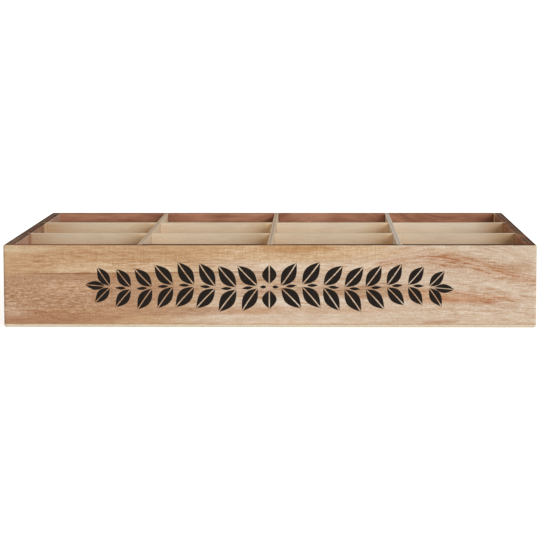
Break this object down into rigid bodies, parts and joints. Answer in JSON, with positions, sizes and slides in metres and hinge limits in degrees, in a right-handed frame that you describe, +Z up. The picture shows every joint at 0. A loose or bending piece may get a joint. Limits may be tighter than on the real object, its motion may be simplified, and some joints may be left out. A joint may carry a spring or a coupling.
{
  "type": "seed organizer box",
  "caption": "Shallow open-topped wooden box with a lift-out cross-lapped divider grid that makes square compartments for seed packets.",
  "frame": {"origin": "centre of the underside, on the surface the box stands on", "axes": "+X along the long side, to the right when facing the decorated front; -Y out of the decorated front; +Z up, out of the open top"},
  "size_m": [0.45, 0.34, 0.07],
  "materials": {
    "scorched_fir": "torched softwood, sanded and waxed, satin",
    "base_plywood": "bare thin plywood, matt",
    "divider_plywood": "bare sanded plywood, matt",
    "brad_steel": "galvanised wire, dull",
    "staple_steel": "galvanised wire, dull"
  },
  "bodies": {
    "box": {"front_panel": "scorched_fir", "back_panel": "scorched_fir", "left_side_panel": "scorched_fir", "right_side_panel": "scorched_fir", "base_panel": "base_plywood", "front_left_brads": "brad_steel", "front_right_brads": "brad_steel", "back_left_brads": "brad_steel", "back_right_brads": "brad_steel", "base_staples_front": "staple_steel", "base_staples_back": "staple_steel", "base_staples_left": "staple_steel", "base_staples_right": "staple_steel"},
    "long_dividers": {"long_divider_front": "divider_plywood", "long_divider_back": "divider_plywood"},
    "left_cross_divider": {"cross_divider_left": "divider_plywood"},
    "centre_cross_divider": {"cross_divider_centre": "divider_plywood"},
    "right_cross_divider": {"cross_divider_right": "divider_plywood"}
  },
  "joints": [
    {"name": "grid_lift", "type": "slide", "parent": "box", "child": "long_dividers", "axis": [0, 0, 1], "range_m": [0, 0.08]},
    {"name": "left_divider_lift", "type": "slide", "parent": "long_dividers", "child": "left_cross_divider", "axis": [0, 0, 1], "range_m": [0, 0.075]},
    {"name": "centre_divider_lift", "type": "slide", "parent": "long_dividers", "child": "centre_cross_divider", "axis": [0, 0, 1], "range_m": [0, 0.075]},
    {"name": "right_divider_lift", "type": "slide", "parent": "long_dividers", "child": "right_cross_divider", "axis": [0, 0, 1], "range_m": [0, 0.075]}
  ]
}
